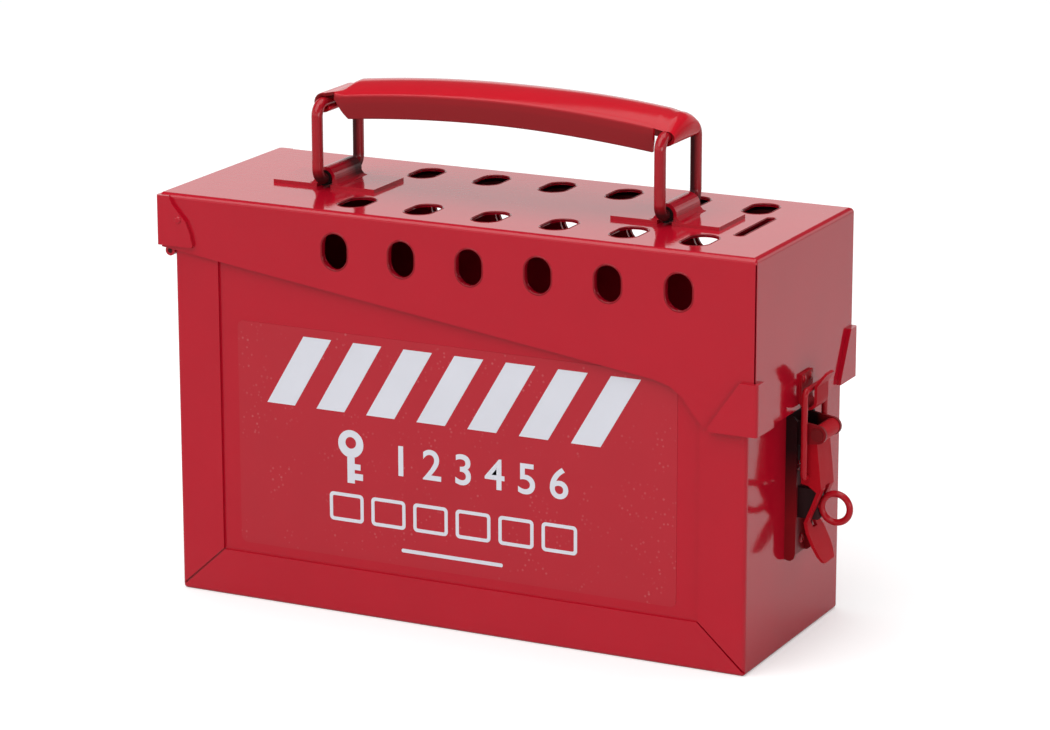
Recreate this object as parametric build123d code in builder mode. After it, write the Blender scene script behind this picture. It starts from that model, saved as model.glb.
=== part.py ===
# Group lockout box: sheet-metal box, slotted hinged lid, draw latch, drop handle.
# Frame: mm, front panel faces -Y, latch end faces +X, base on Z = 0.
from build123d import *
import math
import os

os.makedirs("parts", exist_ok=True)

# ---- driving dimensions -------------------------------------------------
SHEET = 1.0            # body and lid sheet
BX0, BX1 = -113.3, 114.7   # body outer ends
BY = 43.1              # body half depth
BTOP = 148.5           # top of the body walls
FRAME = 17.5           # height of the folded bottom frame strips
SIDE = 18.0            # width of the folded side frame strips
HINGE_GAP, LATCH_GAP = 4.7, 3.3   # lid ends beyond the body ends
LX0, LX1 = BX0 - HINGE_GAP, BX1 + LATCH_GAP   # lid outer ends
LY = BY + SHEET + 0.4  # lid half depth
LTOP = BTOP + 2.5      # lid top
LBEND = 1.9            # outer bend of the lid
LLOW = LTOP - 62.7     # lower edge of the lid at the latch end
SLOT_X = [-46.0 + 27.0 * i for i in range(6)]
SLOT_Z = LTOP - 14.7   # skirt slots, centre height
SLOT_W, SLOT_H = 10.2, 13.2
TSLOT_Y, TSLOT_L, TSLOT_W = 27.0, 17.6, 10.6
KEY_X, KEY_L, KEY_W = LX1 - 19.7, 31.0, 3.2
HINGE_OUT, HINGE_DROP = 2.0, 21.7   # hinge axis from the body end and the lid top
HX, HZ = BX0 - HINGE_OUT, LTOP - HINGE_DROP
KNUCKLE_R, PIN_R, FIT = 1.9, 0.9, 0.05
WIRE = 2.1             # handle link wire radius
LINK_X, LINK_W, LINK_H = 68.5, 31.0, 28.1
LINK_Z = LTOP + 3.5    # lower link axis
TAB_T = 1.5            # proud sheet of the tabs and guards
GRIP_T, GRIP_Y = 1.3, 12.4   # grip sheet and half width
PIVOT_OUT, PIVOT_DROP = 11.5, 8.0   # lever pivot from the body end and the lid edge
PX, PZ = BX1 + PIVOT_OUT, LLOW - PIVOT_DROP
QX, QZ = PX - 4.2, PZ - 16.1   # bail pivot on the lever
BAIL_W, BAIL_TOP, BAIL_R = 9.3, LLOW + 7.7, 1.15
EYE_X, EYE_Z, EYE_R, EYE_WIRE = PX + 4.6, PZ - 28.1, 5.25, 1.2
KEEP_W = 5.2           # half width of the keeper
BASE_Y, BASE_D = 8.4, 4.2   # latch base channel, half width and depth
CUT = Mode.SUBTRACT


# ---- helpers: each adds to (or cuts from) the part being built ----------
def prism_y(pts, y0, y1, mode=Mode.ADD):
    """Extrude an (x, z) polygon from y0 to y1."""
    with BuildSketch(Plane((0, y1, 0), x_dir=(1, 0, 0), z_dir=(0, -1, 0))) as sk:
        with BuildLine():
            Polyline(*pts, close=True)
        make_face()
    extrude(sk.sketch, amount=y1 - y0, mode=mode)


def prism_x(pts, x0, x1, mode=Mode.ADD):
    """Extrude a (y, z) polygon from x0 to x1."""
    with BuildSketch(Plane((x0, 0, 0), x_dir=(0, 1, 0), z_dir=(1, 0, 0))) as sk:
        with BuildLine():
            Polyline(*pts, close=True)
        make_face()
    extrude(sk.sketch, amount=x1 - x0, mode=mode)


def prism_z(pts, z0, z1, mode=Mode.ADD):
    """Extrude an (x, y) polygon from z0 to z1."""
    with BuildSketch(Plane((0, 0, z0))) as sk:
        with BuildLine():
            Polyline(*pts, close=True)
        make_face()
    extrude(sk.sketch, amount=z1 - z0, mode=mode)


def block(x0, x1, y0, y1, z0, z1, mode=Mode.ADD):
    with Locations(((x0 + x1) / 2, (y0 + y1) / 2, (z0 + z1) / 2)):
        Box(x1 - x0, y1 - y0, z1 - z0, mode=mode)


def rod_y(x, z, r, y0, y1, mode=Mode.ADD):
    with Locations((x, (y0 + y1) / 2, z)):
        Cylinder(r, y1 - y0, rotation=(90, 0, 0), mode=mode)


def rod_x(y, z, r, x0, x1, mode=Mode.ADD):
    with Locations(((x0 + x1) / 2, y, z)):
        Cylinder(r, x1 - x0, rotation=(0, 90, 0), mode=mode)


def skirt_slots(y0, y1, grow=0.0):
    """Upright ovals through a skirt or a panel."""
    with BuildSketch(Plane((0, y1, SLOT_Z), x_dir=(0, 0, 1), z_dir=(0, -1, 0))) as sk:
        with Locations(*[(0, -x) for x in SLOT_X]):
            SlotOverall(SLOT_H + grow, SLOT_W + grow)
    extrude(sk.sketch, amount=y1 - y0, mode=CUT)


def top_slots(y, z0, z1, grow=0.0):
    """Ovals through a flat top, long side along Y."""
    with BuildSketch(Plane((0, y, z0), x_dir=(0, 1, 0), z_dir=(0, 0, 1))) as sk:
        with Locations(*[(0, -x) for x in SLOT_X]):
            SlotOverall(TSLOT_L + grow, TSLOT_W + grow)
    extrude(sk.sketch, amount=z1 - z0, mode=CUT)


def strip(pts, t):
    """Polygon of a bent strip: mitred offset of an open centre line."""
    def side(s):
        out = []
        for i, (px, pz) in enumerate(pts):
            d = []
            if i > 0:
                d.append((px - pts[i - 1][0], pz - pts[i - 1][1]))
            if i < len(pts) - 1:
                d.append((pts[i + 1][0] - px, pts[i + 1][1] - pz))
            n = [(-b / math.hypot(a, b), a / math.hypot(a, b)) for a, b in d]
            if len(n) == 2:
                k = 1 + n[0][0] * n[1][0] + n[0][1] * n[1][1]
                m = ((n[0][0] + n[1][0]) / k, (n[0][1] + n[1][1]) / k)
            else:
                m = n[0]
            out.append((px + s * m[0] * t / 2, pz + s * m[1] * t / 2))
        return out
    return side(1) + side(-1)[::-1]


def arc(cx, cz, r, a0, a1, n):
    """Points on an arc, angles in degrees."""
    return [(cx + r * math.cos(math.radians(a0 + (a1 - a0) * i / n)),
             cz + r * math.sin(math.radians(a0 + (a1 - a0) * i / n))) for i in range(n + 1)]


def wire(pts, radius, bend, closed):
    """Round wire along a filleted path of 3-D points."""
    with BuildLine() as path:
        FilletPolyline(*pts, radius=bend, close=closed)
    run = path.line
    with BuildSketch(Plane(run @ 0, z_dir=run % 0)) as sk:
        Circle(radius)
    sweep(sk.sketch, path=run)


def dome(seat, axis, r, h):
    """Low domed head on a seat, axis its outward direction."""
    up = (Align.CENTER, Align.CENTER, Align.MIN)
    with Locations(Plane(seat, z_dir=axis)):
        Cone(r, 0.86 * r, 0.55 * h, align=up)
    tip = tuple(a + 0.55 * h * b for a, b in zip(seat, axis))
    with Locations(Plane(tip, z_dir=axis)):
        Cone(0.86 * r, 0.4 * r, 0.45 * h, align=up)


def ordered(a, b):
    return (a, b) if a < b else (b, a)


# ---- body: one folded sheet, parted here along its mitre lines ----------
MITRE = FRAME + 1.0    # how far the mitre lines run in
UNDER = [(BX0 - 1, -0.5), (BX0 - 1, -2), (BX1 + 1, -2), (BX1 + 1, -0.5),
         (BX1 - MITRE, MITRE - 0.5), (BX0 + MITRE, MITRE - 0.5)]


def body_sheet(b):
    """Floor, end walls and mitred frame strips of the folded sheet."""
    with Locations(((BX0 + BX1) / 2, 0, BTOP / 2)):
        Box(BX1 - BX0, 2 * BY, BTOP)
    fillet(b.edges().filter_by(Axis.Z) + b.edges().group_by(Axis.Z)[0], 1.4)
    block(BX0 + SHEET, BX1 - SHEET, -BY + SHEET, BY - SHEET, SHEET, BTOP + 1, CUT)
    prism_y([(BX0 + SIDE, FRAME), (BX1 - SIDE, FRAME), (BX1 - SIDE, BTOP + 1),
             (BX0 + SIDE, BTOP + 1)], -BY - 1, BY + 1, CUT)
    for s in (-1, 1):
        y0, y1 = ordered(s * (BY - SHEET), s * (BY + 1))
        for xe, d in ((BX0, 1), (BX1, -1)):
            prism_y([(xe - 2 * d, -1.1), (xe + (MITRE + 0.5) * d, MITRE - 0.4),
                     (xe + (MITRE + 0.5) * d, MITRE + 0.3), (xe - 2 * d, -0.1)], y0, y1, CUT)


with BuildPart() as body_bottom:
    body_sheet(body_bottom)
    prism_y(UNDER, -BY - 1, BY + 1, Mode.INTERSECT)
body_bottom.part.label = "body_bottom"
export_step(body_bottom.part, "parts/body_bottom.step")

with BuildPart() as body_end_hinge:
    body_sheet(body_end_hinge)
    prism_y(UNDER, -BY - 1, BY + 1, CUT)
    block(BX0 - 1, 0, -BY - 1, BY + 1, -1, BTOP + 1, Mode.INTERSECT)
body_end_hinge.part.label = "body_end_hinge"
export_step(body_end_hinge.part, "parts/body_end_hinge.step")

with BuildPart() as body_end_latch:
    body_sheet(body_end_latch)
    prism_y(UNDER, -BY - 1, BY + 1, CUT)
    block(0, BX1 + 1, -BY - 1, BY + 1, -1, BTOP + 1, Mode.INTERSECT)
body_end_latch.part.label = "body_end_latch"
export_step(body_end_latch.part, "parts/body_end_latch.step")

with BuildPart() as front_panel:
    block(BX0 + 1.2, BX1 - 1.2, -BY + SHEET, -BY + 2 * SHEET, SHEET, BTOP - SHEET)
    skirt_slots(-BY, -BY + 3, 1.2)
front_panel.part.label = "front_panel"
export_step(front_panel.part, "parts/front_panel.step")

with BuildPart() as back_panel:
    block(BX0 + 1.2, BX1 - 1.2, BY - 2 * SHEET, BY - SHEET, SHEET, BTOP - SHEET)
    skirt_slots(BY - 3, BY, 1.2)
back_panel.part.label = "back_panel"
export_step(back_panel.part, "parts/back_panel.step")


RAIL_Y = TSLOT_Y + 4.0   # inner edge of the top flanges


def rail(s):
    """Narrow top flange, notched at the slots, with a turned-down lip."""
    y0, y1 = ordered(s * (BY - SHEET), s * RAIL_Y)
    block(BX0 + 1.2, BX1 - 1.2, y0, y1, BTOP - SHEET, BTOP)
    y2, y3 = ordered(s * RAIL_Y, s * (RAIL_Y + SHEET))
    block(BX0 + 1.2, BX1 - 1.2, y2, y3, BTOP - 4, BTOP - SHEET)
    top_slots(s * TSLOT_Y, BTOP - 5, BTOP + 1, 1.0)


with BuildPart() as top_rail_front:
    rail(-1)
top_rail_front.part.label = "top_rail_front"
export_step(top_rail_front.part, "parts/top_rail_front.step")

with BuildPart() as top_rail_back:
    rail(1)
top_rail_back.part.label = "top_rail_back"
export_step(top_rail_back.part, "parts/top_rail_back.step")

# ---- lid: one bent sheet, parted here along its bends -------------------
ZS = LTOP - LBEND
OPEN = 0.4             # half opening of the mitred skirt corners, measured along X
SWEEP = [(94, 23.4), (38, 15.8), (32, 14.1), (27, 10.3), (23, 4.9), (19.5, 1.1), (16.5, 0),
         (6, 0), (6, -28.3)]   # skirt edge, inward of the latch end and above its low edge
LOW = ([(LX0 - 1, HZ + 1.7), (LX0 + 18, HZ - 0.9)] + [(LX1 - a, LLOW + b) for a, b in SWEEP]
       + [(LX0 - 1, LLOW - 28.3)])


def lid_sheet(b):
    """Cover with rounded top bends, wedge-shaped skirts and the padlock slots."""
    with BuildPart(mode=Mode.PRIVATE) as inner:
        block(LX0 - 1, LX1 - SHEET, -LY + SHEET, LY - SHEET, LLOW - 1, LTOP - SHEET)
        fillet(inner.edges().group_by(Axis.Z)[-1].sort_by(Axis.X)[1:], LBEND - SHEET)
    block(LX0, LX1, -LY, LY, LLOW, LTOP)
    fillet(b.edges().group_by(Axis.Z)[-1].sort_by(Axis.X)[1:], LBEND)
    fillet(b.edges().filter_by(Axis.Z).sort_by(Axis.X)[-2:], 0.9)
    add(inner.part, mode=CUT)
    prism_y(LOW, -LY - 1, LY + 1, CUT)
    for s in (-1, 1):
        ya, yb = ordered(s * (LY - SHEET), s * (LY + 1))
        prism_z([(LX1 + 1 - OPEN, s * (LY + 1)), (LX1 + 1 + OPEN, s * (LY + 1)),
                 (LX1 - 1.3 + OPEN, s * (LY - 1.3)), (LX1 - 1.3 - OPEN, s * (LY - 1.3))],
                LLOW - 1, ZS - 0.3, CUT)
        skirt_slots(ya - 2, yb + 1)
        top_slots(s * TSLOT_Y, LTOP - 3, LTOP + 1)
    with BuildSketch(Plane((KEY_X, 0, LTOP - 3), x_dir=(0, 1, 0), z_dir=(0, 0, 1))) as sk:
        SlotOverall(KEY_L, KEY_W)
    extrude(sk.sketch, amount=4, mode=CUT)


with BuildPart() as lid_top:
    lid_sheet(lid_top)
    block(LX0 - 1, LX1 + 1, -LY - 1, LY + 1, ZS, LTOP + 1, Mode.INTERSECT)
lid_top.part.label = "lid_top"
export_step(lid_top.part, "parts/lid_top.step")

def long_skirt(b, s):
    """Long skirt of the cover, up to its mitred corner."""
    lid_sheet(b)
    prism_z([(LX0 - 1, s * (LY + 1)), (LX1 + 1, s * (LY + 1)),
             (LX1 - 1.2, s * (LY - 1.2)), (LX0 - 1, s * (LY - 1.2))],
            LLOW - 1, ZS, Mode.INTERSECT)


with BuildPart() as lid_skirt_front:
    long_skirt(lid_skirt_front, -1)
lid_skirt_front.part.label = "lid_skirt_front"
export_step(lid_skirt_front.part, "parts/lid_skirt_front.step")

with BuildPart() as lid_skirt_back:
    long_skirt(lid_skirt_back, 1)
lid_skirt_back.part.label = "lid_skirt_back"
export_step(lid_skirt_back.part, "parts/lid_skirt_back.step")

with BuildPart() as lid_skirt_latch:
    lid_sheet(lid_skirt_latch)
    prism_z([(LX1 + 1, -LY - 1), (LX1 + 1, LY + 1), (LX1 - 1.2, LY - 1.2),
             (LX1 - 1.2, -LY + 1.2)], LLOW - 1, ZS, Mode.INTERSECT)
lid_skirt_latch.part.label = "lid_skirt_latch"
export_step(lid_skirt_latch.part, "parts/lid_skirt_latch.step")

# hinge-end sheet wrapped over both skirts, standing proud as tabs
TAB_Z0, TAB_Z1 = HZ + 2.5, LTOP - 0.6
TAB = ([(LX0 - 1.2, TAB_Z0), (LX0 - 1.2, TAB_Z1), (LX0 + 4, TAB_Z1)]
       + [(LX0 + a, LTOP - b) for a, b in ((5.7, 3.8), (8.1, 6.5), (11, 9.6), (12.8, 14))]
       + [(LX0 + 13.8, TAB_Z0 + 0.8), (LX0 + 13.2, TAB_Z0)])
with BuildPart() as lid_end_hinge:
    block(LX0 - 1.2, LX0, -LY - TAB_T, LY + TAB_T, TAB_Z0, TAB_Z1)
    prism_y(TAB, -LY - TAB_T, -LY)
    prism_y(TAB, LY, LY + TAB_T)
    fillet(lid_end_hinge.edges().filter_by(Axis.Z).sort_by(Axis.X)[0:2], 1.0)
lid_end_hinge.part.label = "lid_end_hinge"
export_step(lid_end_hinge.part, "parts/lid_end_hinge.step")

with BuildPart() as lid_tab_rivets:
    dome((LX0 + 7.9, -LY - TAB_T, LTOP - 9.2), (0, -1, 0), 1.5, 0.7)
    dome((LX0 + 7.9, LY + TAB_T, LTOP - 9.2), (0, 1, 0), 1.5, 0.7)
lid_tab_rivets.part.label = "lid_tab_rivets"
export_step(lid_tab_rivets.part, "parts/lid_tab_rivets.step")


GUARD_H = 18.7


def guard(b, s):
    """Corner guard folded round a latch-end corner of the lid."""
    ya, yb = ordered(s * LY, s * (LY + TAB_T))
    top = LLOW + GUARD_H
    prism_y([(LX1 - 5.3, top), (LX1 - 17, LLOW + 1.7), (LX1 - 17.4, LLOW), (LX1, LLOW),
             (LX1, top)], ya, yb)
    prism_x([(s * (LY + TAB_T), LLOW), (s * (LY + TAB_T), top), (s * (LY - 4.7), top),
             (s * (LY - 13.5), LLOW + 1.7), (s * (LY - 13.9), LLOW)], LX1, LX1 + TAB_T)
    corner = b.edges().filter_by(Axis.Z).sort_by(Axis.X)[-2:].sort_by(Axis.Y)
    fillet(corner[0 if s < 0 else -1], 1.3)


with BuildPart() as corner_guard_front:
    guard(corner_guard_front, -1)
corner_guard_front.part.label = "corner_guard_front"
export_step(corner_guard_front.part, "parts/corner_guard_front.step")

with BuildPart() as corner_guard_back:
    guard(corner_guard_back, 1)
corner_guard_back.part.label = "corner_guard_back"
export_step(corner_guard_back.part, "parts/corner_guard_back.step")

# ---- hinge --------------------------------------------------------------
PIN_Y = BY + 0.3       # half length of the hinge pin
SEG = 2 * PIN_Y / 5
LEAF_Y, LEAF_TOP = BY - 1.1, LTOP - 5.0
KNUCKLE_GAP = KNUCKLE_R + 0.2


def leaf(x0, x1, mine):
    """Hinge leaf with its own knuckles, bored for the pin."""
    block(x0, x1, -LEAF_Y, LEAF_Y, HZ + KNUCKLE_GAP, LEAF_TOP)
    for i in mine:
        a, b = -PIN_Y + i * SEG + 0.1, -PIN_Y + (i + 1) * SEG - 0.1
        block(x0, x1, max(a, -LEAF_Y), min(b, LEAF_Y), HZ, HZ + KNUCKLE_GAP)
        rod_y(HX, HZ, KNUCKLE_R, a, b)
    rod_y(HX, HZ, PIN_R + FIT, -PIN_Y - 0.6, PIN_Y + 0.6, CUT)


with BuildPart() as hinge_leaf_body:
    leaf(BX0 - 1, BX0, (0, 2, 4))
hinge_leaf_body.part.label = "hinge_leaf_body"
export_step(hinge_leaf_body.part, "parts/hinge_leaf_body.step")

with BuildPart() as hinge_leaf_lid:
    leaf(LX0, LX0 + 1, (1, 3))
hinge_leaf_lid.part.label = "hinge_leaf_lid"
export_step(hinge_leaf_lid.part, "parts/hinge_leaf_lid.step")

with BuildPart() as hinge_pin:
    rod_y(HX, HZ, PIN_R, -PIN_Y, PIN_Y)
hinge_pin.part.label = "hinge_pin"
export_step(hinge_pin.part, "parts/hinge_pin.step")


# ---- handle -------------------------------------------------------------
def bracket(xc):
    """Strap on the lid with a raised bearing for the lower bar of the link."""
    z0 = LTOP
    block(xc - 21, xc + 21, -11.5, 11.5, z0, z0 + 1.3)
    block(xc - 3.2, xc + 3.2, -8.2, 8.2, z0, LINK_Z)
    prism_y([(xc - 6.6, z0 + 0.4), (xc - 6.6, z0 + 1.3), (xc - 5.2, z0 + 1.7)]
            + arc(xc, LINK_Z, WIRE + FIT + 2.0, 187, -7, 16)
            + [(xc + 5.2, z0 + 1.7), (xc + 6.6, z0 + 1.3), (xc + 6.6, z0 + 0.4)], -10.2, 10.2)
    m = WIRE + 0.8
    mouth = [(xc - m, z0 - 1), (xc + m, z0 - 1)] + arc(xc, LINK_Z, m, 0, 180, 12)
    prism_y(mouth, -12, -8.2, CUT)
    prism_y(mouth, 8.2, 12, CUT)
    rod_y(xc, LINK_Z, WIRE + FIT, -12, 12, CUT)


with BuildPart() as handle_bracket_left:
    bracket(-LINK_X)
handle_bracket_left.part.label = "handle_bracket_left"
export_step(handle_bracket_left.part, "parts/handle_bracket_left.step")

with BuildPart() as handle_bracket_right:
    bracket(LINK_X)
handle_bracket_right.part.label = "handle_bracket_right"
export_step(handle_bracket_right.part, "parts/handle_bracket_right.step")


def link(xc):
    w, z0, z1 = LINK_W / 2, LINK_Z, LINK_Z + LINK_H
    wire([(xc, w, z0), (xc, w, z1), (xc, -w, z1), (xc, -w, z0)], WIRE, 4.4, True)


with BuildPart() as handle_link_left:
    link(-LINK_X)
handle_link_left.part.label = "handle_link_left"
export_step(handle_link_left.part, "parts/handle_link_left.step")

with BuildPart() as handle_link_right:
    link(LINK_X)
handle_link_right.part.label = "handle_link_right"
export_step(handle_link_right.part, "parts/handle_link_right.step")

GZ = LINK_Z + LINK_H    # grip pivots
GR = 450.0              # arch radius of the grip
GTOP = GZ + 8.4         # crown height of the grip at mid length
DROP = 10.6             # depth of the grip's side flanges
half = LINK_X - 4.0
gx = [-half + 2 * half * i / 24 for i in range(25)]


def arch(x, z0):
    return z0 - (x * x) / (2 * GR)


curl = arc(LINK_X, GZ, WIRE + FIT + 0.2 + GRIP_T / 2, 105, -150, 16)
line = ([(-x, z) for x, z in curl[::-1]] + [(x, arch(x, GTOP - GRIP_T / 2)) for x in gx] + curl)
mid = GTOP - GRIP_T / 2
low, foot_top = GTOP - DROP, GTOP - DROP + 1.2
x1, x2, x3 = LINK_X - 5.2, LINK_X - 4.9, LINK_X - 11.9     # slanted left ends of the flanges
x4, x5, x6 = LINK_X - 6.1, LINK_X - 4.5, LINK_X - 6.5      # right ends
along = [x for x in gx if 14.5 - LINK_X < x < LINK_X - 7.5]
flange = ([(-x1, arch(x1, mid)), (-x2, arch(x2, GTOP - 3.0)), (-x3, arch(x3, low))]
          + [(x, arch(x, low)) for x in along]
          + [(x4, arch(x4, low)), (x5, arch(x5, mid))]
          + [(x, arch(x, mid)) for x in gx[::-1] if -x6 < x < x6])
foot = [(x, arch(x, low)) for x in along] + [(x, arch(x, foot_top)) for x in along[::-1]]
with BuildPart() as handle_grip:
    prism_y(strip(line, GRIP_T), -GRIP_Y, GRIP_Y)
    for s in (-1, 1):
        xa, xb = ordered(s * (LINK_X - 4.1), s * (LINK_X + 11.5))
        for t in (-1, 1):
            yc, yd = ordered(t * (GRIP_Y - 1.7), t * (GRIP_Y + 1.6))
            block(xa, xb, yc, yd, GZ - 10, GZ + 20, CUT)
    for s in (-1, 1):
        ya, yb = ordered(s * (GRIP_Y - GRIP_T), s * GRIP_Y)
        prism_y(flange, ya, yb)
        yc, yd = ordered(s * (GRIP_Y - 1.9), s * (GRIP_Y - 0.6))
        prism_y(foot, yc, yd)
    for s in (-1, 1):
        rod_y(s * LINK_X, GZ, WIRE + FIT, -GRIP_Y + 0.4, GRIP_Y - 0.4, CUT)
handle_grip.part.label = "handle_grip"
export_step(handle_grip.part, "parts/handle_grip.step")

# ---- latch --------------------------------------------------------------
PLATE = 1.3            # latch sheet
PIVOT_R = 1.5          # lever pin radius
LEVER_Y = 6.0          # half width of the lever's knuckle
EAR0, EAR1 = LEVER_Y + 0.1, LEVER_Y + 0.1 + PLATE
EAR = ([(BX1 + 0.6, PZ - 4.9)] + arc(PX, PZ, PIVOT_R + 1.8, -90, 90, 12)
       + [(BX1 + 0.6, PZ + 4.9)])
BASE_Z0, BASE_Z1 = PZ - 47.3, PZ + 7.7
out = BX1 + BASE_D
WALL = [(BX1, BASE_Z0 + 0.8), (BX1 + 1.2, BASE_Z0), (out - 1.8, BASE_Z0), (out - 0.5, BASE_Z0 + 1.0),
        (out, BASE_Z0 + 2.8), (out, BASE_Z1 - 3.4), (out - 1.6, BASE_Z1 - 1.5), (BX1, BASE_Z1 - 0.5)]
with BuildPart() as latch_base:
    with BuildSketch(Plane((BX1, 0, (BASE_Z0 + BASE_Z1) / 2), x_dir=(0, 1, 0), z_dir=(1, 0, 0))):
        RectangleRounded(2 * BASE_Y, BASE_Z1 - BASE_Z0, 0.8)
    extrude(amount=PLATE)
    prism_y(WALL, -BASE_Y, -BASE_Y + PLATE)
    prism_y(WALL, BASE_Y - PLATE, BASE_Y)
    prism_y(EAR, -EAR1, -EAR0)
    prism_y(EAR, EAR0, EAR1)
    rod_y(PX, PZ, PIVOT_R, -EAR1 - 0.6, EAR1 + 0.6, CUT)
latch_base.part.label = "latch_base"
export_step(latch_base.part, "parts/latch_base.step")

with BuildPart() as latch_base_rivets:
    for y, z in ((4.0, PZ - 42.3), (-4.0, PZ - 42.3), (0, PZ - 14.3)):
        dome((BX1 + PLATE, y, z), (1, 0, 0), 1.9, 0.7)
latch_base_rivets.part.label = "latch_base_rivets"
export_step(latch_base_rivets.part, "parts/latch_base_rivets.step")

with BuildPart() as latch_pin:
    rod_y(PX, PZ, PIVOT_R, -EAR1, EAR1)
    rod_y(PX, PZ, PIVOT_R + 0.8, -EAR1 - 0.45, -EAR1)
    rod_y(PX, PZ, PIVOT_R + 0.8, EAR1, EAR1 + 0.45)
latch_pin.part.label = "latch_pin"
export_step(latch_pin.part, "parts/latch_pin.step")

SHANK_R, POST_Y = 1.0, EYE_WIRE + 0.2
with BuildPart() as padlock_eye:
    with Locations((EYE_X, 0, EYE_Z)):
        Torus(EYE_R, EYE_WIRE, rotation=(90, 0, 0))
    rod_x(0, EYE_Z, SHANK_R, BX1 + PLATE, EYE_X - EYE_R + 0.3)
padlock_eye.part.label = "padlock_eye"
export_step(padlock_eye.part, "parts/padlock_eye.step")

# upright web that carries the eye through the lever's slot
with BuildPart() as eye_post:
    block(BX1 + PLATE, PX - 0.7, -POST_Y, POST_Y, EYE_Z - 4.9, EYE_Z + 6.2)
    chamfer(eye_post.edges().filter_by(Axis.Y).sort_by(Axis.X)[-2:], 1.0)
    rod_x(0, EYE_Z, SHANK_R, BX1, PX, CUT)
    rod_y(EYE_X, EYE_Z, EYE_R + EYE_WIRE + FIT, -POST_Y - 1, POST_Y + 1, CUT)
eye_post.part.label = "eye_post"
export_step(eye_post.part, "parts/eye_post.step")

SPINE = [(PX - a, PZ - b) for a, b in ((1.4, 2.0), (-0.6, 20.3), (4.9, 33.5), (-2.0, 48.0))]
HALF = [(LEVER_Y, -9.7), (LEVER_Y, 20.3), (5.2, 28.3), (5.2, 33.3), (6.9, 36.8), (7, 41.8),
        (6.2, 45.3), (4.4, 47.6), (2, 48.7)]   # half outline, below the pivot
OUTLINE = [(-LEVER_Y, PZ + 9.7)] + [(y, PZ - b) for y, b in HALF] \
    + [(-y, PZ - b) for y, b in HALF[:0:-1]]
CHEEK = [(PX - a, PZ - b) for a, b in ((6.5, 5.7), (4.6, 3.1), (1.4, 1.3), (0.7, 4.3),
                                       (-1.0, 20.3), (0.0, 22.1), (3.8, 19.4), (6.5, 18.9))]
CHEEK_Y = LEVER_Y - 1.2
with BuildPart() as latch_lever:
    prism_y(strip(SPINE, 1.2), -LEVER_Y - 1.0, LEVER_Y + 1.0)
    prism_x(OUTLINE, PX - 16, PX + 14, Mode.INTERSECT)
    rod_y(PX, PZ, PIVOT_R + 1.5, -LEVER_Y, LEVER_Y)
    prism_y(CHEEK, -LEVER_Y, -CHEEK_Y)
    prism_y(CHEEK, CHEEK_Y, LEVER_Y)
    slit = EYE_WIRE + 0.7
    block(PX - 8.2, PX + 1.8, -slit, slit, EYE_Z - 7.8, EYE_Z + 8.4, CUT)
    rod_y(PX, PZ, PIVOT_R + FIT, -LEVER_Y - 2, LEVER_Y + 2, CUT)
    rod_y(QX, QZ, BAIL_R + FIT, -LEVER_Y - 2, LEVER_Y + 2, CUT)
latch_lever.part.label = "latch_lever"
export_step(latch_lever.part, "parts/latch_lever.step")

with BuildPart() as latch_bail:
    end = CHEEK_Y - 0.4
    wire([(QX, -end, QZ), (QX, -BAIL_W, QZ), (QX, -BAIL_W, BAIL_TOP), (QX, BAIL_W, BAIL_TOP),
          (QX, BAIL_W, QZ), (QX, end, QZ)], BAIL_R, 2.2, False)
latch_bail.part.label = "latch_bail"
export_step(latch_bail.part, "parts/latch_bail.step")

KEEP_T = 1.0
back = LX1 + KEEP_T / 2
hook_x = QX - 0.55
hook_r = hook_x - back
HOOK = ([(back, LLOW + 12.6)] + arc(hook_x, LLOW + hook_r + KEEP_T / 2, hook_r, 180, 360, 14)
        + [(hook_x + hook_r, LLOW + 8.9), (hook_x + hook_r + 3.0, LLOW + 13.3)])
EDGE = [(KEEP_W + 4.3, 8.7), (KEEP_W, 9.7), (KEEP_W - 1.1, 12.3), (KEEP_W - 3.1, 14.1)]
LIP = ([(-y, LLOW + b) for y, b in EDGE] + [(y, LLOW + b) for y, b in EDGE[::-1]]
       + [(KEEP_W + 4.3, LLOW + 21.7), (-KEEP_W - 4.3, LLOW + 21.7)])
with BuildPart() as keeper:
    prism_y(strip(HOOK, KEEP_T), -KEEP_W, KEEP_W)
    prism_x(LIP, LX1 + 2.5, LX1 + 17, CUT)
keeper.part.label = "keeper"
export_step(keeper.part, "parts/keeper.step")

with BuildPart() as keeper_rivets:
    dome((LX1 + KEEP_T, -2.9, LLOW + 10.6), (1, 0, 0), 1.4, 0.6)
    dome((LX1 + KEEP_T, 2.9, LLOW + 10.6), (1, 0, 0), 1.4, 0.6)
keeper_rivets.part.label = "keeper_rivets"
export_step(keeper_rivets.part, "parts/keeper_rivets.step")
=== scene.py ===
import math

import bmesh
import bpy
from mathutils import Matrix, Vector


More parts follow.
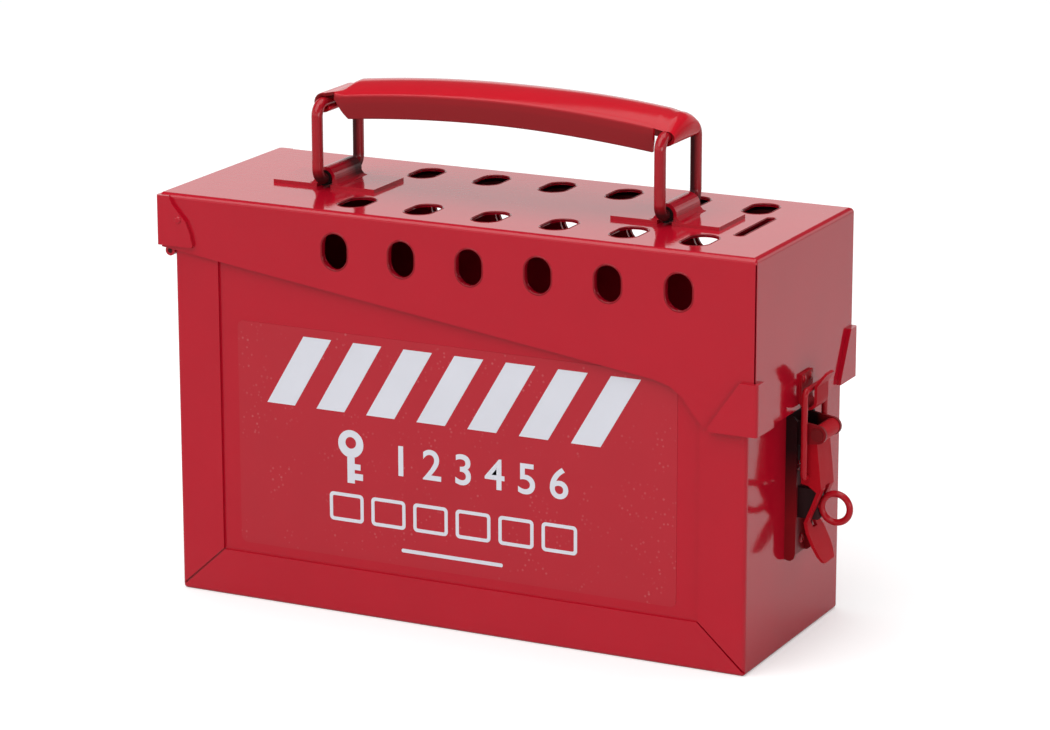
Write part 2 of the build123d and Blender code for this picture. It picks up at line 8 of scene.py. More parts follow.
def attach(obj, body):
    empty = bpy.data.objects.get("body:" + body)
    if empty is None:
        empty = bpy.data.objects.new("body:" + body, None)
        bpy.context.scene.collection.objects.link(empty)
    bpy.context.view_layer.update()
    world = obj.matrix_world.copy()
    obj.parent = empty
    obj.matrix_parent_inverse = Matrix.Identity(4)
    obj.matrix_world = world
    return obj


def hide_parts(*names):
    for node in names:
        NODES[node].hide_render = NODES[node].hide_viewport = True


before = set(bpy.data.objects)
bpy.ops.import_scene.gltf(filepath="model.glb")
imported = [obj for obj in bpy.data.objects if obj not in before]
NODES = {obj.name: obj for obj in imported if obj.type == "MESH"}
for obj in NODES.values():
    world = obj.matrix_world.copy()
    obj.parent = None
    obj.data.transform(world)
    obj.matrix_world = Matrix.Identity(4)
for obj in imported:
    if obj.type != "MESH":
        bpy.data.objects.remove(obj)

# Visual model of a group lockout box, laid round its packed source. Shapes are in mm and
# turned to m by MM as they are made; the places of camera and lamps are in m.
for leftover in ("Cube", "Light", "Camera"):
    if leftover in bpy.data.objects:
        bpy.data.objects.remove(bpy.data.objects[leftover])
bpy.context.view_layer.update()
MM = 0.001

# Measures of the source that the pieces here share, in mm.
SLOT_X = [-46.0 + 27.0 * i for i in range(6)]
SLOT_Z, SLOT_W, SLOT_H = 136.3, 10.2, 13.2
TSLOT_Y, TSLOT_L, TSLOT_W = 27.0, 17.6, 10.6
KEY_X, KEY_L, KEY_W = 98.3, 31.0, 3.2
LID_Y, LID_TOP = 44.5, 151.0
PANEL_Y = 42.1
LINK_X, GRIP_Z = 68.5, 182.6
GRIP_TOP = GRIP_Z + 8.4
GRIP_SHEET = 1.3

# Label: plane of the film, plane and thickness of the ink on it.
FILM_Y = -PANEL_Y
INK_Y, INK_T = FILM_Y - 0.11, 0.06


# ---- camera, light and floor --------------------------------------------
CAMERA_AT = (0.635486, -1.265454, 0.471559)
CAMERA_AXES = ((0.896074, 0.443902, -0.001271),     # right
               (-0.114649, 0.234198, 0.965405),     # up
               (0.428843, -0.864929, 0.260752))     # back
FOCAL_PX, PHOTO_PX, SENSOR = 4014.40, 1050, 36.0


def place_camera():
    """Camera as solved on the photograph."""
    cam = bpy.data.cameras.new("camera")
    cam.sensor_fit = "HORIZONTAL"
    cam.sensor_width = SENSOR
    cam.lens = SENSOR * FOCAL_PX / PHOTO_PX
    cam.clip_start, cam.clip_end = 0.05, 50
    obj = bpy.data.objects.new("camera", cam)
    m = Matrix([Vector(axis) for axis in CAMERA_AXES]).transposed().to_4x4()
    m.translation = Vector(CAMERA_AT)
    obj.matrix_world = m
    bpy.context.collection.objects.link(obj)
    bpy.context.scene.camera = obj


def area_lamp(name, where, aim, size, watts):
    """Rectangular lamp of a size in m, turned to a point."""
    lamp = bpy.data.lights.new(name, "AREA")
    lamp.shape, lamp.size, lamp.size_y = "RECTANGLE", size[0], size[1]
    lamp.energy = watts
    obj = bpy.data.objects.new(name, lamp)
    obj.location = where
    obj.rotation_mode = "QUATERNION"
    obj.rotation_quaternion = (Vector(aim) - Vector(where)).to_track_quat("-Z", "Y")
    bpy.context.collection.objects.link(obj)


def number(nt, operation, a, b, clamp=False):
    """Result of one sum on two sockets, or on a socket and a plain number."""
    node = nt.nodes.new("ShaderNodeMath")
    node.operation, node.use_clamp = operation, clamp
    for value, socket in ((a, node.inputs[0]), (b, node.inputs[1])):
        if isinstance(value, float):
            socket.default_value = value
        else:
            nt.links.new(value, socket)
    return node.outputs[0]


def span(nt, source, start, end, low=0.0, high=1.0, smooth=False):
    """Level that runs from low to high while the source runs from start to end."""
    node = nt.nodes.new("ShaderNodeMapRange")
    if smooth:
        node.interpolation_type = "SMOOTHSTEP"
    for key, value in (("From Min", start), ("From Max", end), ("To Min", low), ("To Max", high)):
        node.inputs[key].default_value = value
    nt.links.new(source, node.inputs["Value"])
    return node.outputs["Result"]


def axes(nt, source):
    """The three parts of a vector, by the name of their axis."""
    node = nt.nodes.new("ShaderNodeSeparateXYZ")
    nt.links.new(source, node.inputs[0])
    return node.outputs


def blend(nt, factor, a, b):
    """Colour between a, a colour or a socket, and the colour b."""
    node = nt.nodes.new("ShaderNodeMix")
    node.data_type = "RGBA"
    nt.links.new(factor, node.inputs["Factor"])
    if isinstance(a, bpy.types.NodeSocket):
        nt.links.new(a, node.inputs["A"])
    else:
        node.inputs["A"].default_value = (*a, 1)
    node.inputs["B"].default_value = (*b, 1)
    return node.outputs["Result"]


def white_studio():
    """Even pale surround: white where it is seen or mirrored, plain level as light."""
    world = bpy.data.worlds.new("studio")
    bpy.context.scene.world = world
    world.use_nodes = True
    nt = world.node_tree
    nt.nodes.clear()
    out = nt.nodes.new("ShaderNodeOutputWorld")
    lit = nt.nodes.new("ShaderNodeBackground")
    seen = nt.nodes.new("ShaderNodeBackground")
    mix = nt.nodes.new("ShaderNodeMixShader")
    path = nt.nodes.new("ShaderNodeLightPath")
    lit.inputs[0].default_value = (1, 1, 1, 1)
    seen.inputs[1].default_value = 1.0
    way = axes(nt, nt.nodes.new("ShaderNodeTexCoord").outputs["Generated"])
    # the light is weaker from the right, and the mirrored ceiling is dark
    nt.links.new(span(nt, way["X"], 0.1, 0.8, 0.64, 0.22), lit.inputs[1])
    nt.links.new(span(nt, way["Z"], 0.27, 0.36, 1.0, 0.12, smooth=True), seen.inputs[0])
    total = path.outputs["Is Camera Ray"]
    for kind in ("Is Glossy Ray", "Is Transmission Ray"):
        total = number(nt, "ADD", total, path.outputs[kind], clamp=True)
    nt.links.new(total, mix.inputs[0])
    nt.links.new(lit.outputs[0], mix.inputs[1])
    nt.links.new(seen.outputs[0], mix.inputs[2])
    nt.links.new(mix.outputs[0], out.inputs[0])


def floor():
    """Matt pale floor that shows white to the camera."""
    bm = bmesh.new()
    bmesh.ops.create_grid(bm, x_segments=1, y_segments=1, size=12)
    obj = mesh_object("floor", bm)
    mat = bpy.data.materials.new("pale_floor")
    mat.use_nodes = True
    nt = mat.node_tree
    shade = nt.nodes["Principled BSDF"]
    shade.inputs["Roughness"].default_value = 0.9
    shade.inputs["Specular IOR Level"].default_value = 0.1
    path = nt.nodes.new("ShaderNodeLightPath").outputs
    # the mirrored floor is darker on the front side, as in a studio with the light behind
    place = axes(nt, nt.nodes.new("ShaderNodeNewGeometry").outputs["Position"])
    front_side = span(nt, place["Y"], 0.04, -0.12, smooth=True)
    mirrored = number(nt, "MULTIPLY", front_side, path["Is Glossy Ray"])
    nt.links.new(blend(nt, mirrored, [0.72] * 3, [0.38] * 3), shade.inputs["Base Color"])
    glow = nt.nodes.new("ShaderNodeEmission")
    nt.links.new(number(nt, "MULTIPLY", path["Is Camera Ray"], 0.37), glow.inputs[1])
    both = nt.nodes.new("ShaderNodeAddShader")
    nt.links.new(shade.outputs[0], both.inputs[0])
    nt.links.new(glow.outputs[0], both.inputs[1])
    nt.links.new(both.outputs[0], nt.nodes["Material Output"].inputs[0])
    obj.data.materials.append(mat)


# ---- mesh helpers --------------------------------------------------------
def mesh_object(name, bm, mat=None, smooth=None):
    """Object at the origin from a bmesh; smooth is the angle that stays sharp, in degrees."""
    me = bpy.data.meshes.new(name)
    bm.to_mesh(me)
    bm.free()
    obj = bpy.data.objects.new(name, me)
    bpy.context.collection.objects.link(obj)
    if mat:
        me.materials.append(mat)
    if smooth is not None:
        me.polygons.foreach_set("use_smooth", [True] * len(me.polygons))
        me.set_sharp_from_angle(angle=math.radians(smooth))
    return obj


# ---- shapes that repeat, by Geometry Nodes -------------------------------
def node_tree(name, sizes):
    """Geometry tree with named number inputs; gives the tree, its input and its output node."""
    tree = bpy.data.node_groups.new(name, "GeometryNodeTree")
    tree.interface.new_socket("Geometry", in_out="INPUT", socket_type="NodeSocketGeometry")
    for label in sizes:
        tree.interface.new_socket(label, in_out="INPUT", socket_type="NodeSocketFloat")
    tree.interface.new_socket("Geometry", in_out="OUTPUT", socket_type="NodeSocketGeometry")
    return tree, tree.nodes.new("NodeGroupInput"), tree.nodes.new("NodeGroupOutput")


def spread(tree, source, start, end, mat):
    """Ends a tree: the source shape on each seat, turned along the seat's own direction."""
    new, link = tree.nodes.new, tree.links.new
    facing = new("GeometryNodeInputNamedAttribute")
    facing.data_type = "FLOAT_VECTOR"
    facing.inputs["Name"].default_value = "facing"
    turn = new("FunctionNodeAlignRotationToVector")
    turn.axis = "Z"
    link(facing.outputs["Attribute"], turn.inputs["Vector"])
    put = new("GeometryNodeInstanceOnPoints")
    real = new("GeometryNodeRealizeInstances")
    finish = new("GeometryNodeSetMaterial")
    finish.inputs["Material"].default_value = mat
    link(start.outputs["Geometry"], put.inputs["Points"])
    link(source, put.inputs["Instance"])
    link(turn.outputs["Rotation"], put.inputs["Rotation"])
    link(put.outputs["Instances"], real.inputs["Geometry"])
    link(real.outputs["Geometry"], finish.inputs["Geometry"])
    link(finish.outputs["Geometry"], end.inputs["Geometry"])


def grow(name, tree, seats, sizes, body, mat, smooth=40):
    """Runs a tree over seats of (place, direction) in mm and keeps the result as one mesh."""
    me = bpy.data.meshes.new(name + "_seats")
    me.from_pydata([Vector(p) * MM for p, _ in seats], [], [])
    facing = me.attributes.new("facing", "FLOAT_VECTOR", "POINT")
    for i, (_, d) in enumerate(seats):
        facing.data[i].vector = d
    host = bpy.data.objects.new(name + "_seats", me)
    bpy.context.collection.objects.link(host)
    mod = host.modifiers.new("tree", "NODES")
    mod.node_group = tree
    for item in tree.interface.items_tree:
        if item.in_out == "INPUT" and item.name in sizes:
            mod[item.identifier] = sizes[item.name] * MM
    ready = host.evaluated_get(bpy.context.evaluated_depsgraph_get())
    made = bpy.data.meshes.new_from_object(ready)
    bpy.data.objects.remove(host)
    made.name = name
    made.materials.clear()
    made.materials.append(mat)
    made.polygons.foreach_set("material_index", [0] * len(made.polygons))
    made.polygons.foreach_set("use_smooth", [True] * len(made.polygons))
    made.set_sharp_from_angle(angle=math.radians(smooth))
    piece = bpy.data.objects.new(name, made)
    bpy.context.collection.objects.link(piece)
    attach(piece, body)
    return piece


def rim_tree(mat):
    """Rolled paint edge round an oval hole: a thin ring on a rounded oval path."""
    tree, start, end = node_tree("slot_rim", ("Length", "Width", "Roll"))
    new, link = tree.nodes.new, tree.links.new
    oval = new("GeometryNodeCurvePrimitiveQuadrilateral")
    link(start.outputs["Width"], oval.inputs["Width"])
    link(start.outputs["Length"], oval.inputs["Height"])
    # a little under half the width, so that the two round ends don't meet
    half = number(tree, "MULTIPLY", start.outputs["Width"], 0.4999)
    bend = new("GeometryNodeFilletCurve")
    bend.mode = "POLY"
    bend.inputs["Count"].default_value = 10
    link(oval.outputs["Curve"], bend.inputs["Curve"])
    link(half, bend.inputs["Radius"])
    ring = new("GeometryNodeCurvePrimitiveCircle")
    ring.inputs["Resolution"].default_value = 8
    link(start.outputs["Roll"], ring.inputs["Radius"])
    tube = new("GeometryNodeCurveToMesh")
    link(bend.outputs["Curve"], tube.inputs["Curve"])
    link(ring.outputs["Curve"], tube.inputs["Profile Curve"])
    spread(tree, tube.outputs["Mesh"], start, end, mat)
    return tree


def shape_tree(name, shape, mat):
    """Copies of one turned or cut shape."""
    tree, start, end = node_tree(name, ())
    source = tree.nodes.new("GeometryNodeObjectInfo")
    source.inputs["Object"].default_value = shape
    spread(tree, source.outputs["Geometry"], start, end, mat)
    return tree


# ---- own shapes ----------------------------------------------------------
def prism(name, outline, depth, mat=None):
    """Flat outline in (x, y), mm, raised along z by depth."""
    bm = bmesh.new()
    low = [bm.verts.new((x * MM, y * MM, 0)) for x, y in outline]
    high = [bm.verts.new((x * MM, y * MM, depth * MM)) for x, y in outline]
    bm.faces.new(low[::-1])
    bm.faces.new(high)
    n = len(outline)
    for i in range(n):
        bm.faces.new((low[i], low[(i + 1) % n], high[(i + 1) % n], high[i]))
    bmesh.ops.recalc_face_normals(bm, faces=bm.faces)
    return mesh_object(name, bm, mat)


def turned(name, profile, steps=24):
    """Shape turned about z from (radius, height) points in mm.

    The points start and end on the axis, or a ring's points end where they start."""
    bm = bmesh.new()
    rings = []
    for r, z in profile:
        if r == 0:
            rings.append([bm.verts.new((0, 0, z * MM))])
        else:
            rings.append([bm.verts.new((r * MM * math.cos(2 * math.pi * i / steps),
                                        r * MM * math.sin(2 * math.pi * i / steps), z * MM))
                          for i in range(steps)])
    for a, b in zip(rings, rings[1:]):
        for i in range(steps):
            j = (i + 1) % steps
            quad = [a[i % len(a)], a[j % len(a)], b[j % len(b)], b[i % len(b)]]
            bm.faces.new(list(dict.fromkeys(quad)))
    bmesh.ops.recalc_face_normals(bm, faces=bm.faces)
    return mesh_object(name, bm)


def rounded(x0, x1, y0, y1, r, n=6):
    """Outline of a rounded rectangle."""
    out = []
    for cx, cy, a in ((x1 - r, y1 - r, 0), (x0 + r, y1 - r, 90), (x0 + r, y0 + r, 180),
                      (x1 - r, y0 + r, 270)):
        out += [(cx + r * math.cos(math.radians(a + 90 * i / n)),
                 cy + r * math.sin(math.radians(a + 90 * i / n))) for i in range(n + 1)]
    return out


def upright(obj, y):
    """Stands a flat piece made in (x, y) on a front plane at y mm, facing -Y."""
    obj.data.transform(Matrix(((1, 0, 0, 0), (0, 0, -1, y * MM), (0, 1, 0, 0), (0, 0, 0, 1))))
    return obj


def settle(obj):
    """Keeps the result of the modifiers as the piece's own mesh."""
    ready = obj.evaluated_get(bpy.context.evaluated_depsgraph_get())
    me = bpy.data.meshes.new_from_object(ready)
    obj.modifiers.clear()
    obj.data = me


def ring_prism(name, outer, inner, depth):
    """Flat ring between two outlines of equal count, mm, raised along z."""
    bm = bmesh.new()
    n = len(outer)
    loops = [[bm.verts.new((x * MM, y * MM, z * MM)) for x, y in line]
             for line, z in ((outer, 0), (outer, depth), (inner, depth), (inner, 0))]
    for a, b in zip(loops, loops[1:] + loops[:1]):
        for i in range(n):
            bm.faces.new((a[i], a[(i + 1) % n], b[(i + 1) % n], b[i]))
    bmesh.ops.recalc_face_normals(bm, faces=bm.faces)
    return mesh_object(name, bm)


def frame_mark(name, w, h, line):
    """Open box mark with rounded corners."""
    return ring_prism(name, rounded(-w, w, -h, h, 1.6),
                      rounded(-w + line, w - line, -h + line, h - line, 0.6), INK_T)


def digits(name, text, x0, x1, z0, z1, mat):
    """Plain numbers of the given width and height on the front."""
    curve = bpy.data.curves.new(name, "FONT")
    half, bolder = 0.0005, 0.012         # half the thickness and the swelling, in text units
    curve.body, curve.extrude, curve.offset = text, half, bolder
    word = bpy.data.objects.new(name + "_curve", curve)
    bpy.context.collection.objects.link(word)
    me = bpy.data.meshes.new_from_object(
        word.evaluated_get(bpy.context.evaluated_depsgraph_get()))
    bpy.data.objects.remove(word)
    xs, ys = [v.co.x for v in me.vertices], [v.co.y for v in me.vertices]
    kx, ky = (x1 - x0) / (max(xs) - min(xs)), (z1 - z0) / (max(ys) - min(ys))
    left, foot = min(xs), min(ys)
    for v in me.vertices:
        v.co = ((x0 + (v.co.x - left) * kx) * MM, (z0 + (v.co.y - foot) * ky) * MM,
                (v.co.z + half) * INK_T / (2 * half) * MM)
    me.materials.clear()
    me.materials.append(mat)
    obj = bpy.data.objects.new(name, me)
    bpy.context.collection.objects.link(obj)
    return upright(obj, INK_Y)


def circle(cx, cy, r, n=32):
    """Outline of a circle."""
    return [(cx + r * math.cos(2 * math.pi * i / n), cy + r * math.sin(2 * math.pi * i / n))
            for i in range(n)]


def key_mark(name, x, z, mat):
    """Plain key sign: a round bow with an eye, a stem and two teeth."""
    bow = ring_prism("bow", circle(0, 4.8, 5.2), circle(0, 5.2, 2.2), INK_T)
    stem = prism("stem", [(-1.5, -0.3), (-1.5, -10), (1.5, -10), (1.5, -8.6), (4.9, -8.6),
                          (4.9, -6.2), (1.5, -6.2), (1.5, -4.8), (3.9, -4.8), (3.9, -2.6),
                          (1.5, -2.6), (1.5, -0.3)], INK_T)
    bm = bmesh.new()
    for part in (bow, stem):
        bm.from_mesh(part.data)
        bpy.data.objects.remove(part)
    obj = mesh_object(name, bm, mat)
    obj.data.transform(Matrix.Translation((x * MM, z * MM, 0)))
    return upright(obj, INK_Y)


# ---- handle grip ---------------------------------------------------------
GRIP_R = 520.0                       # radius of the long arch
RISE, SAG = 2.6, 1.0                 # crown above and shoulders below the arch line
TOP_HALF, TOP_WIDER = 10.6, 1.1      # half width of the flat top, and what the dome adds
SHOULDER_R, KNEE = 1.3, 1.8          # shoulder bend and the upright strip under it
LEAN, LEAN_R = math.radians(3.5), 12.0   # how far the flange leans in, and its bend
TONGUE, FLANGE = 0.5, 9.5            # how far the blank reaches past the top
REACH = ((-63.6, TONGUE), (-63.2, 3.1), (-56.6, FLANGE), (62.4, FLANGE), (64.0, TONGUE))
FINE_STATIONS = {-63.6, -63.2, -60.0, -56.6, 62.4, 62.9, 63.5, 64.0}
CURL_R, CURL_FROM, CURL_TO = 3.65, 98, -150      # curl round the bar, angles in degrees
CURL_DOME = 1.25                     # dome at the start of the right-hand curl


def ramp(x, a, b):
    """Smooth 0 to 1 between two stations."""
    t = min(max((x - a) / (b - a), 0.0), 1.0)
    return t * t * (3 - 2 * t)


def along(x, table):
    """Value at x on straight lines through (x, value) pairs, level outside them."""
    if x <= table[0][0]:
        return table[0][1]
    for (a, u), (b, v) in zip(table, table[1:]):
        if x <= b:
            return u + (x - a) / (b - a) * (v - u)
    return table[-1][1]


def grip_section(reach, dome, n_top=9, n_side=18):
    """(y, drop) points across the sheet: domed top, tight shoulders, flanges leaning in.

    dome is 1 in the arched body and 0 in the flat tongues."""
    half_top = TOP_HALF + TOP_WIDER * min(dome, 1)
    crest = RISE + SAG                       # height of the dome over its shoulders
    slope = math.atan(2 * crest * dome / half_top)
    start = -RISE * dome + crest * dome      # drop at the foot of the dome
    half = []
    y, d, a, walked = half_top, start, slope, 0.0
    step = reach / n_side
    for _ in range(n_side):
        if a < math.pi / 2 - 0.01:
            a = min(a + step / SHOULDER_R, math.pi / 2)
        elif walked > SHOULDER_R * (math.pi / 2 - slope) + KNEE:
            a = min(a + step / LEAN_R, math.pi / 2 + LEAN)
        y += step * math.cos(a)
        d += step * math.sin(a)
        walked += step
        half.append((y, d))
    top = [(half_top * (1 - k / n_top), start - crest * dome * (1 - (1 - k / n_top) ** 2))
           for k in range(2 * n_top + 1)]
    return half[::-1] + top + [(-y, d) for y, d in half]


def make_grip(mat):
    """Arched sheet grip: one bent blank whose tongues curl round the link bars."""
    end, n_arch, n_curl = LINK_X - 4.0, 90, 18
    xs = sorted({round(-end + 2 * end * i / n_arch, 3) for i in range(n_arch + 1)}
                | FINE_STATIONS)
    # each station of the path: x, z, the sheet's outward way (x, z), reach, dome
    path = [(x, GRIP_TOP - x * x / (2 * GRIP_R), -x / GRIP_R, 1.0, along(x, REACH),
             ramp(x, -64.0, -58.5) * (1 + 0.3 * ramp(x, 0, 58))) for x in xs]
    curl = []
    for i in range(n_curl + 1):
        a = math.radians(CURL_FROM - (CURL_FROM - CURL_TO) * i / n_curl)
        dome = CURL_DOME * ramp(a, math.radians(-20), math.radians(CURL_FROM))
        curl.append((LINK_X + CURL_R * math.cos(a), GRIP_Z + CURL_R * math.sin(a),
                     math.cos(a), math.sin(a), TONGUE, dome))
    path = [(-x, z, -nx, nz, reach, 0.0) for x, z, nx, nz, reach, _ in curl[::-1]] + path + curl
    bm = bmesh.new()
    rows = []
    for x, z, nx, nz, reach, dome in path:
        size = math.hypot(nx, nz)
        rows.append([bm.verts.new(((x - d * nx / size) * MM, y * MM, (z - d * nz / size) * MM))
                     for y, d in grip_section(reach, dome)])
    for a, b in zip(rows, rows[1:]):
        for i in range(len(a) - 1):
            bm.faces.new((a[i], a[i + 1], b[i + 1], b[i]))
    obj = mesh_object("grip", bm, mat, smooth=60)
    wall = obj.modifiers.new("wall", "SOLIDIFY")
    wall.thickness, wall.offset, wall.use_even_offset = GRIP_SHEET * MM, -1, True
    edge = obj.modifiers.new("edge", "BEVEL")
    edge.width, edge.segments, edge.limit_method = 0.3 * MM, 2, "ANGLE"
    edge.angle_limit = math.radians(60)
    settle(obj)
    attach(obj, "grip")
    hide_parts("handle_grip")


# ---- finishes ------------------------------------------------------------
def noise(nt, spot, scale, detail=2.0):
    """Cloudy level between 0 and 1 over the place given."""
    node = nt.nodes.new("ShaderNodeTexNoise")
    node.inputs["Scale"].default_value = scale
    node.inputs["Detail"].default_value = detail
    nt.links.new(spot, node.inputs["Vector"])
    return node.outputs["Fac"]


def paint(name, colour, rough=0.1, mottle=0.06, peel=0.02, grain=1.0, shine=0.5):
    """Gloss enamel: faint orange peel, slow colour drift and a slightly uneven gloss."""
    mat = bpy.data.materials.new(name)
    mat.use_nodes = True
    nt = mat.node_tree
    shade = nt.nodes["Principled BSDF"]
    shade.inputs["IOR"].default_value = 1.5
    shade.inputs["Specular IOR Level"].default_value = shine
    spot = nt.nodes.new("ShaderNodeTexCoord").outputs["Object"]
    drift = blend(nt, noise(nt, spot, 45, 3), [c * (1 - mottle) for c in colour],
                  [min(c * (1 + mottle), 1) for c in colour])
    nt.links.new(drift, shade.inputs["Base Color"])
    gloss = span(nt, noise(nt, spot, 120, 4), 0.0, 1.0, rough * 0.75, rough * 1.35)
    nt.links.new(gloss, shade.inputs["Roughness"])
    bump = nt.nodes.new("ShaderNodeBump")
    bump.inputs["Strength"].default_value = 1.0
    bump.inputs["Distance"].default_value = peel * MM
    nt.links.new(noise(nt, spot, 420 * grain), bump.inputs["Height"])
    nt.links.new(bump.outputs[0], shade.inputs["Normal"])
    return mat


def paint_light_and_shade(mat, tone, bands, within=None, matt=0.1):
    """Painted light and shade: base colour and gloss move to another tone over bands of (kind,
    axis, from, to).

    kind Object takes places in mm, kind Normal the way that a face looks; within is a
    band that limits all the others."""
    nt = mat.node_tree
    shade = nt.nodes["Principled BSDF"]
    coords = nt.nodes.new("ShaderNodeTexCoord")

    def band(kind, axis, start, end):
        unit = MM if kind == "Object" else 1.0
        return span(nt, axes(nt, coords.outputs[kind])[axis], start * unit, end * unit)

    total = band(*bands[0])
    for more in bands[1:]:
        total = number(nt, "MAXIMUM", total, band(*more))
    if within:
        total = number(nt, "MULTIPLY", total, band(*within))
    colour, level = shade.inputs["Base Color"], shade.inputs["Specular IOR Level"]
    nt.links.new(blend(nt, total, colour.links[0].from_socket, tone), colour)
    gloss = span(nt, total, 0.0, 1.0, level.default_value, matt)
    if level.is_linked:
        nt.links.new(level.links[0].from_socket, gloss.node.inputs["To Min"])
    nt.links.new(gloss, level)
    return mat


def film_finish(name):
    """Red film laid over the panel: small trapped specks and a satin gloss."""
    mat = paint(name, (0.43, 0.012, 0.024), rough=0.16, mottle=0.05, peel=0.03, grain=0.8)
    nt = mat.node_tree
    spot = nt.nodes.new("ShaderNodeTexCoord").outputs["Object"]
    cells = nt.nodes.new("ShaderNodeTexVoronoi")
    cells.inputs["Scale"].default_value = 480
    nt.links.new(spot, cells.inputs["Vector"])
    specks = span(nt, cells.outputs["Distance"], 0.28, 0.12, 0.0, 0.5)
    patches = span(nt, noise(nt, spot, 90), 0.5, 0.68)
    colour = nt.nodes["Principled BSDF"].inputs["Base Color"]
    pale = blend(nt, number(nt, "MULTIPLY", specks, patches), colour.links[0].from_socket,
                 (0.52, 0.13, 0.14))
    nt.links.new(pale, colour)
    return mat


def link_paint_and_shade(name):
    """Wire enamel with painted shade: dark at the foot that sits in its bearing and on the rear
    leg's left side.
    """
    wire = paint_light_and_shade(paint(name, (0.38, 0.006, 0.014), rough=0.14, shine=0.45), PAINTED_SHADE,
                  [("Object", "Z", 159.5, 155.5)])
    return paint_light_and_shade(wire, PAINTED_SHADE, [("Object", "Y", 5, 12)], within=("Normal", "X", 0.75, 0.0))


def plate_paint_and_shade(name, colour):
    """Satin enamel of the latch plates with painted shade: dark and less glossy on the faces
    turned to the box.
    """
    return paint_light_and_shade(paint(name, colour, rough=0.42, peel=0.03, shine=0.06), PAINTED_SHADE,
                  [("Normal", "X", -0.1, -0.5)])


# ---- the scene -----------------------------------------------------------
place_camera()
white_studio()
floor()
for name, where, aim, size, watts in (
        ("key", (-0.4, -1.3, 1.9), (0, 0, 0.08), (2.2, 2.2), 32.5),
        ("fill", (1.5, -0.9, 0.3), (0, 0, 0.04), (1.0, 0.5), 4),
        ("overhead", (0.2, 0.3, 2.0), (0, 0, 0.1), (1.6, 1.6), 14)):
    area_lamp(name, where, aim, size, watts)
bpy.context.scene.view_settings.view_transform = "Standard"

# paint of the source's slots, and of the nodes that look different from their slot; the dark tone
# is painted shade
RED, PAINTED_SHADE = (0.44, 0.004, 0.017), (0.065, 0.012, 0.014)
enamel = paint("red_enamel", RED)
# painted shade: the inside is the same red paint, made near black as if unlit
enamel_inside_shade = paint("red_enamel_inside_shade", (0.05, 0.002, 0.003), rough=0.3, shine=0.25)
enamel_rim = paint("red_enamel_rim", (0.24, 0.004, 0.010), shine=0.3)
enamel_latch = paint("red_enamel_latch", (0.42, 0.006, 0.014), rough=0.2, peel=0.03, shine=0.3)
steel = paint("dark_steel", (0.05, 0.018, 0.020), rough=0.4, shine=0.2)
# painted shade: the grip is deeper red and less glossy on faces turned down, its flanks; painted
# light: brighter, matt red on faces turned to +X, its curls
enamel_handle = paint("red_enamel_handle", (0.50, 0.006, 0.016), rough=0.16, shine=0.35)
paint_light_and_shade(enamel_handle, (0.22, 0.010, 0.013), [("Normal", "Z", 0.5, -0.15)], matt=0.25)
paint_light_and_shade(enamel_handle, (0.60, 0.010, 0.022), [("Normal", "X", 0.3, 0.7)], matt=0.06)
FINISH = {"body_paint": enamel, "inner_paint": enamel_inside_shade, "handle_paint": enamel_handle,
          "latch_paint": enamel_latch, "rivet_steel": steel}
OWN_PAINT_AND_SHADE = {
    # painted shade: the latch base is dark red, near black towards the top on its part near the
    # box
    "latch_base": paint_light_and_shade(paint("red_enamel_base", (0.22, 0.006, 0.010), rough=0.3, shine=0.15),
                         (0.02, 0.005, 0.006), [("Object", "Z", 48, 74)],
                         within=("Object", "X", 122.5, 120.5)),
    # painted shade: the pin is darker red than the paint round it
    "latch_pin": paint("red_enamel_pin", (0.16, 0.006, 0.008), rough=0.35, shine=0.2),
    "latch_lever": plate_paint_and_shade("red_enamel_lever", (0.44, 0.006, 0.014)),
    "keeper": plate_paint_and_shade("red_enamel_keeper", (0.40, 0.006, 0.014)),
    # painted shade: the hinge pin is dark red, darker still towards its front end
    "hinge_pin": paint_light_and_shade(paint("red_enamel_hinge", (0.3, 0.006, 0.012)), PAINTED_SHADE,
                        [("Object", "Y", -38, -43)]),
    "handle_link_left": link_paint_and_shade("red_enamel_link_left"),
    "handle_link_right": link_paint_and_shade("red_enamel_link_right"),
    # painted shade: the guard's faces turned to -X, its slanted cut edge, are dark
    "corner_guard_front": paint_light_and_shade(paint("red_enamel_guard", RED), (0.12, 0.004, 0.008),
                                 [("Normal", "X", -0.2, -0.5)]),
    # painted shade: the left bracket is dark on the rear half of its bearing, above the plate
    "handle_bracket_left": paint_light_and_shade(paint("red_enamel_bracket_left", RED), PAINTED_SHADE,
                                  [("Object", "Y", -2, 6)],
                                  within=("Object", "Z", 152.2, 153.2))}
for name, node in NODES.items():
    for slot in node.material_slots:
        slot.material = OWN_PAINT_AND_SHADE.get(name) or FINISH[slot.material.name.split(".")[0]]

make_grip(enamel_handle)

# rolled edges of the padlock slots and the key slot
ROLL, INSET = 0.45, 0.3
rims = rim_tree(enamel_rim)
front = [((x, -LID_Y + INSET, SLOT_Z), (0, -1, 0)) for x in SLOT_X]
rear = [((x, LID_Y - INSET, SLOT_Z), (0, 1, 0)) for x in SLOT_X]
top = [((x, s * TSLOT_Y, LID_TOP - INSET), (0, 0, 1)) for x in SLOT_X for s in (-1, 1)]
key = [((KEY_X, 0, LID_TOP - INSET), (0, 0, 1))]
for name, seats, length, width in (
        ("skirt_slot_rims_front", front, SLOT_H, SLOT_W),
        ("skirt_slot_rims_back", rear, SLOT_H, SLOT_W),
        ("top_slot_rims", top, TSLOT_L, TSLOT_W), ("key_slot_rim", key, KEY_L, KEY_W)):
    rim = grow(name, rims, seats, {"Length": length + 2 * INSET, "Width": width + 2 * INSET,
                                   "Roll": ROLL}, "lid", enamel_rim, smooth=80)

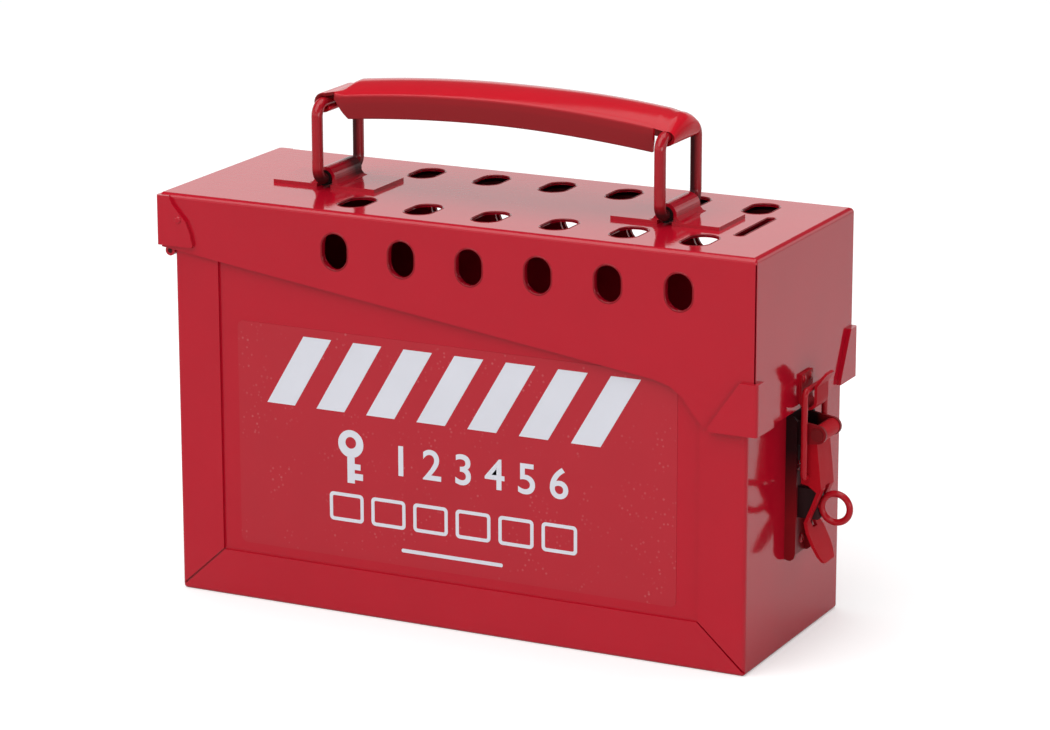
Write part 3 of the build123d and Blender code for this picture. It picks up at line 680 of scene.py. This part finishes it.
# blind rivets, a low dome with its mandrel's stub, and small domed rivets
BASE_X, KEEPER_X, TAB_Y = 116.0, 119.0, 46.0      # faces that the rivet heads sit on
shell = turned("rivet_shell", [(0, -0.2), (1.9, -0.2), (1.9, 0.1), (1.78, 0.34), (1.45, 0.55),
                               (1.0, 0.68), (0.72, 0.66), (0.62, 0.5), (0.6, 0.32), (0, 0.3)])
small = turned("rivet_small", [(0, -0.2), (1.4, -0.2), (1.4, 0.08), (1.28, 0.3), (1.0, 0.5),
                               (0.6, 0.6), (0.3, 0.6), (0, 0.6)])
for name, shape, seats, body, node, finish, slot in (
        ("latch_rivets", shell, [((BASE_X, y, z), (1, 0, 0)) for y, z in
                                 ((4.0, 38.0), (-4.0, 38.0), (0, 66.0))],
         "box", "latch_base_rivets", enamel_latch, "latch_paint"),
        ("tab_rivets", small, [((-110.1, s * TAB_Y, 141.8), (0, s, 0)) for s in (-1, 1)],
         "lid", "lid_tab_rivets", enamel, "body_paint"),
        ("hook_rivets", small, [((KEEPER_X, y, 98.9), (1, 0, 0)) for y in (-2.9, 2.9)],
         "lid", "keeper_rivets", enamel_latch, "latch_paint")):
    heads = grow(name, shape_tree(name, shape, finish), seats, {}, body, finish)
    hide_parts(node)

# painted shade: black rings round the link bars, set in the mouths of the bearings, stand in for
# the shade there
bush = turned("bush", [(2.13, -0.9), (2.86, -0.9), (2.86, 1.8), (2.13, 1.8), (2.13, -0.9)])
black = paint("shade_ring_black", (0.012, 0.006, 0.006), rough=0.6, shine=0.1)
seats = [((s * LINK_X, t * 9.2, LID_TOP + 3.5), (0, t, 0)) for s in (-1, 1) for t in (-1, 1)]
grow("link_bushings", shape_tree("bushing", bush, black), seats, {}, "lid", black)

# label: red film with plain white marks
film = film_finish("label_film")
white = paint("white_print", (0.66, 0.67, 0.73), rough=0.3, mottle=0.05, peel=0.01)
label = upright(prism("label_film", rounded(-88, 88, 21.5, 106, 2.5), 0.12, film), FILM_Y)
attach(label, "box")
slant = prism("slant", [(-13.5, -13.2), (-2.0, -13.2), (13.5, 13.2), (2.0, 13.2)], INK_T)
tick = frame_mark("tick", 7.0, 5.4, 1.3)
stripes = [((-62.5 + 20.5 * i, INK_Y, 89.6), (0, -1, 0)) for i in range(7)]
boxes = [((-43.5 + 17.2 * i, INK_Y, 40.5), (0, -1, 0)) for i in range(6)]
for name, shape, seats in (("label_stripes", slant, stripes), ("label_boxes", tick, boxes)):
    grow(name, shape_tree(name, shape, white), seats, {}, "box", white)
numbers = digits("label_numbers", "1 2 3 4 5 6", -22, 46, 55.2, 66.8, white)
pictogram = key_mark("label_key", -41.5, 60, white)
rule = upright(prism("label_rule", rounded(-21, 20, 26.6, 28.0, 0.6), INK_T, white), INK_Y)
for mark in (numbers, pictogram, rule):
    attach(mark, "box")
for shape in (shell, small, bush, slant, tick):
    bpy.data.objects.remove(shape)
